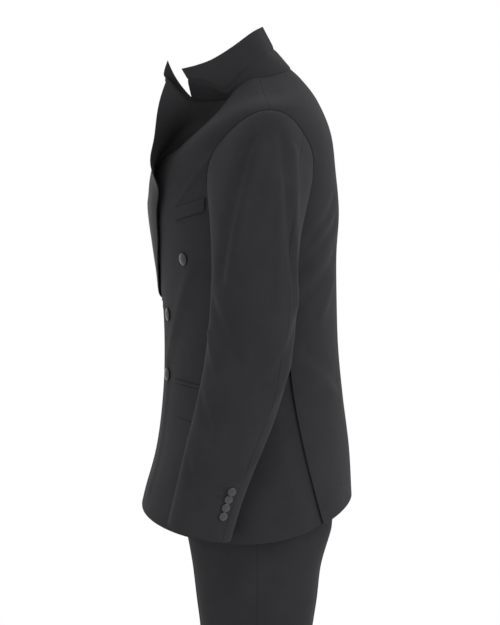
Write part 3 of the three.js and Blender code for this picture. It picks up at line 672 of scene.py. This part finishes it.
def buttonhole(surface, turn, along, length, width):
    """Places round a slit across the cloth, with the directions out of the cloth there."""
    per_turn = np.linalg.norm(surface(turn + 0.5, along) - surface(turn - 0.5, along))
    per_along = np.linalg.norm(surface(turn, along + 0.01) - surface(turn, along - 0.01)) / 0.02
    half = math.pi * np.linspace(-0.5, 0.5, 9)
    end = (length - width) / 2 + width / 2 * np.cos(half)
    rise = width / 2 * np.sin(half)
    turns = turn + np.concatenate((end, -end)) / per_turn
    alongs = along + np.concatenate((rise, -rise)) / per_along
    return surface(turns, alongs), normal_of(surface, turns, alongs, 1, 0.01)


def cords(name, loops, radius, material, sides=6):
    """Closed loops of round thread: each is its places and the directions out of the cloth."""
    points, quads = [], []
    for places, outward in loops:
        along = unit(np.roll(places, -1, 0) - np.roll(places, 1, 0))
        across = unit(np.cross(along, outward))
        first, count = len(points) * sides, len(places)
        for i in range(count):
            angle = np.linspace(0, 2 * math.pi, sides, endpoint=False)
            points.append(places[i] + radius * (np.outer(np.cos(angle), across[i]) + np.outer(np.sin(angle), outward[i])))
            for j in range(sides):
                here, there = first + i * sides, first + (i + 1) % count * sides
                k = (j + 1) % sides
                quads.append((here + j, there + j, there + k, here + k))
    points = np.concatenate(points)
    return mesh_object(name, points, np.array(quads), points[:, :2], np.zeros(len(quads)), [material])


def button_profile(radius, height):
    """Flat back, rounded rim, and a face that domes up to a point in the middle."""
    back = [(0.05, 0), (radius * 0.7, 0), (radius * 0.9, height * 0.08)]
    rim = [
        (radius * (0.9 + 0.1 * math.sin(a)), height * (0.36 - 0.28 * math.cos(a)))
        for a in np.linspace(0.4, math.pi - 0.6, 8)
    ]
    face = [
        (radius * (0.9 - 0.85 * t), height * (0.62 + 0.38 * math.sin(t * math.pi / 2)))
        for t in np.linspace(0.08, 1, 10)
    ]
    return back + rim + face


# ---------------------------------------------------------------- materials
def new_material(name, color, roughness, sheen, sheen_roughness, sheen_tint):
    material = bpy.data.materials.new(name)
    material.use_nodes = True
    shader = material.node_tree.nodes["Principled BSDF"]
    shader.inputs["Base Color"].default_value = (*color, 1)
    shader.inputs["Roughness"].default_value = roughness
    shader.inputs["Specular IOR Level"].default_value = 0.25
    shader.inputs["Sheen Weight"].default_value = sheen
    shader.inputs["Sheen Roughness"].default_value = sheen_roughness
    shader.inputs["Sheen Tint"].default_value = (*sheen_tint, 1)
    return material, material.node_tree, shader


def node(tree, kind, values=None, **settings):
    made = tree.nodes.new(kind)
    for key, value in settings.items():
        setattr(made, key, value)
    for key, value in (values or {}).items():
        made.inputs[key].default_value = value
    return made


def stripes(tree, uv, turn, pitch):
    """Thread bands across the cloth at an angle in degrees."""
    turned = node(tree, "ShaderNodeMapping", {"Rotation": (0, 0, turn * RAD)})
    tree.links.new(uv, turned.inputs["Vector"])
    bands = node(
        tree, "ShaderNodeTexWave",
        {"Scale": 1 / pitch / (2 * math.pi) * 2 * math.pi / 3.14159, "Distortion": 1.5, "Detail": 2.0, "Detail Scale": 2.0},
        wave_type="BANDS", bands_direction="X",
    )
    tree.links.new(turned.outputs["Vector"], bands.inputs["Vector"])
    return bands.outputs["Fac"]


def noise(tree, coordinate, scale, detail=4.0, roughness=0.6):
    made = node(tree, "ShaderNodeTexNoise", {"Scale": scale, "Detail": detail, "Roughness": roughness})
    tree.links.new(coordinate, made.inputs["Vector"])
    return made.outputs["Fac"]


def bump(tree, height, strength, distance, before=None):
    made = node(tree, "ShaderNodeBump", {"Strength": strength, "Distance": distance})
    tree.links.new(height, made.inputs["Height"])
    if before is not None:
        tree.links.new(before, made.inputs["Normal"])
    return made.outputs["Normal"]


def shade(tree, shader, color, factor, low, high):
    """Colour that goes between a darker and a lighter tone of a colour."""
    ramp = node(tree, "ShaderNodeMapRange", {"From Min": 0.3, "From Max": 0.7, "To Min": low, "To Max": high})
    tree.links.new(factor, ramp.inputs["Value"])
    tone = node(tree, "ShaderNodeMix", {"Factor": 1.0}, data_type="RGBA", blend_type="MULTIPLY")
    tone.inputs["A"].default_value = (*color, 1)
    tree.links.new(ramp.outputs["Result"], tone.inputs["B"])
    tree.links.new(tone.outputs["Result"], shader.inputs["Base Color"])


def cloth_material(name, color, roughness, sheen, pitch, weave, nap, mottle):
    """Woven cloth: a diagonal twill of that pitch, a soft nap, and a slight change of tone."""
    material, tree, shader = new_material(name, color, roughness, sheen, 0.45, (0.75, 0.76, 0.8))
    shader.inputs["Specular IOR Level"].default_value = 0.06
    place = node(tree, "ShaderNodeTexCoord")
    uv, position = place.outputs["UV"], place.outputs["Object"]
    twill = bump(tree, stripes(tree, uv, 62, pitch), weave, 0.0002)
    fibres = bump(tree, noise(tree, uv, 900, 3.0, 0.7), nap, 0.0004, twill)
    soft = bump(tree, noise(tree, position, 55, 3.0, 0.5), 0.12, 0.002, fibres)
    tree.links.new(soft, shader.inputs["Normal"])
    shade(tree, shader, color, noise(tree, position, 18, 6.0, 0.7), 1 - mottle, 1 + mottle)
    return material


def satin_material(name, color, roughness, gloss):
    """Satin: smooth, with fine threads in one direction and a soft gloss."""
    material, tree, shader = new_material(name, color, roughness, 0.05, 0.3, (0.8, 0.82, 0.88))
    shader.inputs["Anisotropic"].default_value = 0.5
    shader.inputs["Specular IOR Level"].default_value = gloss
    place = node(tree, "ShaderNodeTexCoord")
    threads = bump(tree, stripes(tree, place.outputs["UV"], 90, 0.00035), 0.1, 0.0001)
    soft = bump(tree, noise(tree, place.outputs["Object"], 70, 2.0, 0.5), 0.08, 0.002, threads)
    tree.links.new(soft, shader.inputs["Normal"])
    shade(tree, shader, color, noise(tree, place.outputs["Object"], 25, 4.0, 0.6), 0.92, 1.08)
    return material


def felt_material(name, color):
    """Undercollar felt: matted fibres with a speckle."""
    material, tree, shader = new_material(name, color, 0.95, 0.05, 0.6, (0.8, 0.8, 0.84))
    shader.inputs["Specular IOR Level"].default_value = 0.06
    place = node(tree, "ShaderNodeTexCoord")
    speckle = noise(tree, place.outputs["UV"], 420, 5.0, 0.75)
    tree.links.new(bump(tree, speckle, 0.55, 0.0006), shader.inputs["Normal"])
    shade(tree, shader, color, speckle, 0.68, 1.4)
    return material


WOOL_COLOR = (0.0215, 0.0215, 0.023)
wool = cloth_material("jacket_wool", WOOL_COLOR, 0.9, 0.05, 0.0007, 0.3, 0.4, 0.1)
lining_side = cloth_material("jacket_wool_inside", (0.015, 0.015, 0.017), 0.9, 0.03, 0.0007, 0.15, 0.2, 0.05)
trouser_wool = cloth_material("trouser_wool", WOOL_COLOR, 0.9, 0.05, 0.0007, 0.3, 0.35, 0.1)
felt = felt_material("undercollar_felt", (0.088, 0.088, 0.092))
satin = satin_material("lapel_satin", (0.012, 0.012, 0.014), 0.5, 0.08)
button_satin = satin_material("button_satin", (0.014, 0.014, 0.016), 0.25, 0.4)
cuff_satin = satin_material("cuff_button_satin", (0.03, 0.03, 0.033), 0.3, 0.35)
thread = satin_material("buttonhole_thread", (0.02, 0.02, 0.022), 0.5, 0.2)


# ---------------------------------------------------------------- the suit
def part(piece, nodes):
    """Rides a piece on the body in place of its node."""
    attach(piece, "root")
    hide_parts(*nodes)
    return piece


def near(places, center, spread=(0.004, 0.012, 0.03, 0.06, 0.1, 0.16)):
    """Extra mesh lines on both sides of a place."""
    return [p for s in spread for p in (center - s, center + s) if 0 < p < 1] + list(places)


armhole_lines = near(near((), ARMHOLE_HIGH / NECK, (0.0008, 0.003, 0.007, 0.012)), ARMHOLE_LOW / NECK)

for word, side in SIDES:
    mirrored = side < 0
    part(
        cloth(f"front_{word}", front_panel(side), (300, 720), (wool, lining_side), mirrored, extra_v=armhole_lines),
        [f"front_{word}"],
    )
    part(
        cloth(f"side_panel_{word}", side_panel(side), (160, 440), (wool, lining_side), mirrored),
        [f"side_panel_{word}"],
    )
    part(
        cloth(f"back_{word}", back_panel(side), (220, 730), (wool, lining_side), mirrored, extra_v=armhole_lines),
        [f"back_{word}"],
    )
    part(
        cloth(
            f"lapel_{word}", lambda u, v, s=side: leaf(s, u, v), (110, 560), (satin, wool), mirrored,
            extra_u=ROLL_LINES,
        ),
        [f"lapel_{word}"],
    )

    def fore(along):
        return SLEEVE_FORE_TURN + 0 * along

    def hind(along):
        return mix(*SLEEVE_HIND_TURNS, along)

    def fore_again(along):
        return SLEEVE_FORE_TURN + 360 + 0 * along

    part(
        cloth(f"sleeve_upper_{word}", sleeve_panel(side, fore, hind), (190, 650), (wool, lining_side), mirrored),
        [f"sleeve_upper_{word}"],
    )
    part(
        cloth(f"sleeve_under_{word}", sleeve_panel(side, hind, fore_again), (150, 560), (wool, lining_side), mirrored),
        [f"sleeve_under_{word}"],
    )
    for face, flip in (("front", mirrored), ("back", not mirrored)):
        part(
            cloth(
                f"trouser_{face}_{word}", trouser_panel(side, face), (220, 1050), (trouser_wool, lining_side), flip,
                extra_u=near((0.5,), 0.5, (0.004, 0.008, 0.014)),
            ),
            [f"trouser_{face}_{word}"],
        )
    part(
        cloth(f"waistband_{word}", waistband(side), (440, WAISTBAND_HEIGHT), (trouser_wool, lining_side), mirrored),
        [f"waistband_{word}"],
    )

    def flap_low(u):
        close = np.maximum(0, 1 - np.minimum(u, 1 - u) / FLAP["corner"])
        return mix(*FLAP["low"], u) + FLAP["rounding"] * (1 - np.sqrt(1 - close * close))

    def flap_top(u):
        return FLAP["top"] + 0 * u

    part(
        cloth(f"pocket_flap_{word}", patch(side, FLAP["turns"], flap_low, flap_top), (150, 45), (wool,) * 2, mirrored),
        [f"pocket_flap_{word}"],
    )
    jet_turns = (FLAP["turns"][0] - JET["reach"], FLAP["turns"][1] + JET["reach"])
    part(
        cloth(
            f"pocket_jet_{word}",
            patch(side, jet_turns, lambda u: flap_top(u) + JET["low"], lambda u: flap_top(u) + JET["high"]),
            (155, 8), (wool,) * 2, mirrored,
        ),
        [f"pocket_jet_{word}"],
    )

part(
    cloth(
        "collar", collar, (420, 75), (felt, wool), wall=COLLAR_WALL,
        extra_v=near((COLLAR_BEND,), COLLAR_BEND, (0.015, 0.03, 0.05, 0.08)),
    ),
    ["collar"],
)
part(
    cloth(
        "breast_welt",
        patch(1, WELT["turns"], lambda u: mix(*WELT["low"], u), lambda u: mix(*WELT["high"], u)),
        (90, 30), (wool,) * 2,
    ),
    ["breast_welt"],
)

for row, z in enumerate(FRONT_ROWS):
    for word, side in SIDES:
        x = side * (FRONT_TOP_X if row == 0 else FRONT_COLUMN_X)
        start = vector(x, -85 if row == 0 else -115, z)
        turn, level = nearest_on_front(1, start, x / 3, 5 - 1.3 * row)
        outward = normal_of(torso, turn, level, 0.5, 0.01)
        seat = HIGH_BUTTON_SEAT if side < 0 and row == 1 else BUTTON_SEAT
        name = f"front_button_{word}_{row + 1}"
        place = torso(turn, level, seat)
        part(
            lathe(name, place, outward, button_profile(FRONT_RADIUS, FRONT_HEIGHT), 40, button_satin),
            [name],
        )

for word, side in SIDES:
    for i in range(CUFF_COUNT):
        along = 1 - (CUFF_ABOVE_HEM + i * CUFF_PITCH) / SLEEVE_MM[1]
        turn, along = np.array(float(CUFF_TURN)), np.array(along)
        place = sleeve_surface(side, turn, along, BUTTON_SEAT)
        outward = normal_of(plain_sleeve, turn, along, 1, -0.01) * (side, 1, 1)
        name = f"cuff_button_{word}_{i + 1}"
        part(
            lathe(name, place, outward, button_profile(CUFF_RADIUS, CUFF_HEIGHT), 32, cuff_satin),
            [name],
        )

loops = []
for level in HOLE_LEVELS:
    loops.append(buttonhole(lambda t, a: torso(t, a, 0.3), HOLE_TURN, level, *HOLE_SIZE))
for _, side in SIDES:
    for i in range(CUFF_COUNT):
        along = 1 - (CUFF_ABOVE_HEM + i * CUFF_PITCH) / SLEEVE_MM[1]
        turn = CUFF_TURN + CUFF_HOLE_SHIFT
        loops.append(buttonhole(lambda t, a, s=side: sleeve_surface(s, t, a, 0.3), turn, along, *CUFF_HOLE_SIZE))
stitching = cords("buttonhole_stitching", loops, THREAD_RADIUS, thread)
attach(stitching, "root")


# ---------------------------------------------------------------- studio
FLOOR_Z = -1.48
CAMERA_AIM = Vector((0, 0.015, -0.383))
CAMERA_DISTANCE, CAMERA_PITCH, CAMERA_LENS = 3.0, 7.5, 106.27

floor_material = bpy.data.materials.new("studio_floor")
floor_material.use_nodes = True
floor_shader = floor_material.node_tree.nodes["Principled BSDF"]
floor_shader.inputs["Base Color"].default_value = (0.9, 0.9, 0.9, 1)
floor_shader.inputs["Roughness"].default_value = 0.9
bpy.ops.mesh.primitive_circle_add(vertices=96, radius=1.75, fill_type="NGON", location=(0, 0, FLOOR_Z))
floor = bpy.context.object
floor.name = "studio_floor"
floor.data.materials.append(floor_material)

world = bpy.data.worlds.new("studio")
bpy.context.scene.world = world
world.use_nodes = True
world.node_tree.nodes["Background"].inputs["Color"].default_value = (1, 1, 1, 1)
world.node_tree.nodes["Background"].inputs["Strength"].default_value = 1.0


def softbox(name, place, size, power):
    """Square area light that faces the suit."""
    lamp = bpy.data.lights.new(name, "AREA")
    lamp.shape = "SQUARE"
    lamp.size = size
    lamp.energy = power
    made = bpy.data.objects.new(name, lamp)
    made.location = place
    made.rotation_euler = (Vector((0, 0, -0.4)) - made.location).to_track_quat("-Z", "Y").to_euler()
    bpy.context.collection.objects.link(made)


softbox("key", (2.6, -0.5, 1.9), 0.6, 7)
softbox("side", (1.5, 2.6, 0.6), 1.2, 36)
softbox("low", (2.4, -1.4, -0.9), 0.8, 5)

camera_data = bpy.data.cameras.new("camera")
camera_data.lens = CAMERA_LENS
camera_data.sensor_width = 36
camera = bpy.data.objects.new("camera", camera_data)
bpy.context.collection.objects.link(camera)
pitch = CAMERA_PITCH * RAD
back = Vector((math.cos(pitch), 0, math.sin(pitch)))
camera.location = CAMERA_AIM + back * CAMERA_DISTANCE
camera.rotation_euler = (-back).to_track_quat("-Z", "Y").to_euler()
bpy.context.scene.camera = camera
bpy.context.scene.view_settings.view_transform = "Standard"
